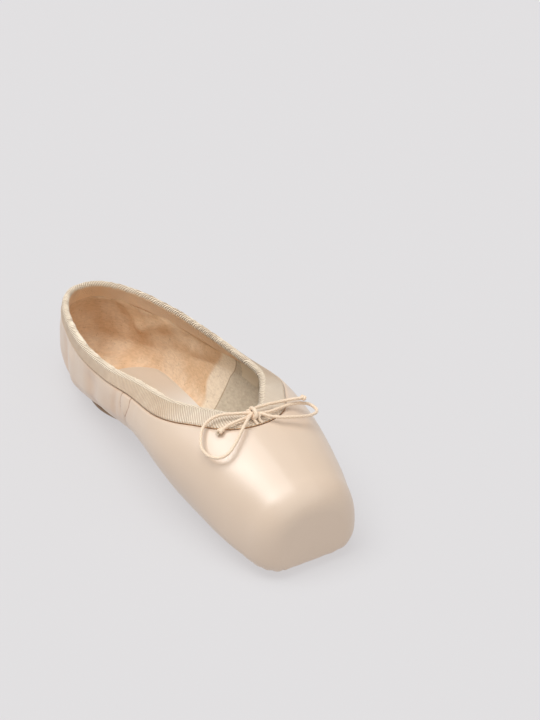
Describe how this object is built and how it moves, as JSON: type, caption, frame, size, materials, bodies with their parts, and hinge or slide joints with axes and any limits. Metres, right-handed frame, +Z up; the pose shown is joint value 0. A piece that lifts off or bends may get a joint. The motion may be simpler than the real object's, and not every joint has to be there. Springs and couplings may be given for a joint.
{
  "type": "pointe shoe",
  "caption": "Satin pointe shoe with a flat-ended toe box, a bound collar drawn up by a cord tied in a bow, and a narrow leather sole.",
  "frame": {"origin": "on the floor, under the middle of the shoe's length and width", "axes": "+Z up, -Y towards the toe, +Y towards the heel, X across"},
  "size_m": [0.079, 0.232, 0.0595],
  "materials": {
    "satin": "pale peach-pink satin, soft sheen",
    "sole leather": "matt dark brown leather",
    "insole cloth": "matt cream cloth",
    "binding tape": "matt cream woven tape",
    "drawstring cord": "matt tan round cord"
  },
  "bodies": {
    "root": {"upper": "satin", "outsole": "sole leather", "insole": "insole cloth", "collar_binding": "binding tape", "drawstring_knot": "drawstring cord", "drawstring_loop_near": "drawstring cord", "drawstring_loop_far": "drawstring cord", "drawstring_end_near": "drawstring cord", "drawstring_end_far": "drawstring cord", "end_knot_near": "drawstring cord", "end_knot_far": "drawstring cord"}
  },
  "joints": []
}
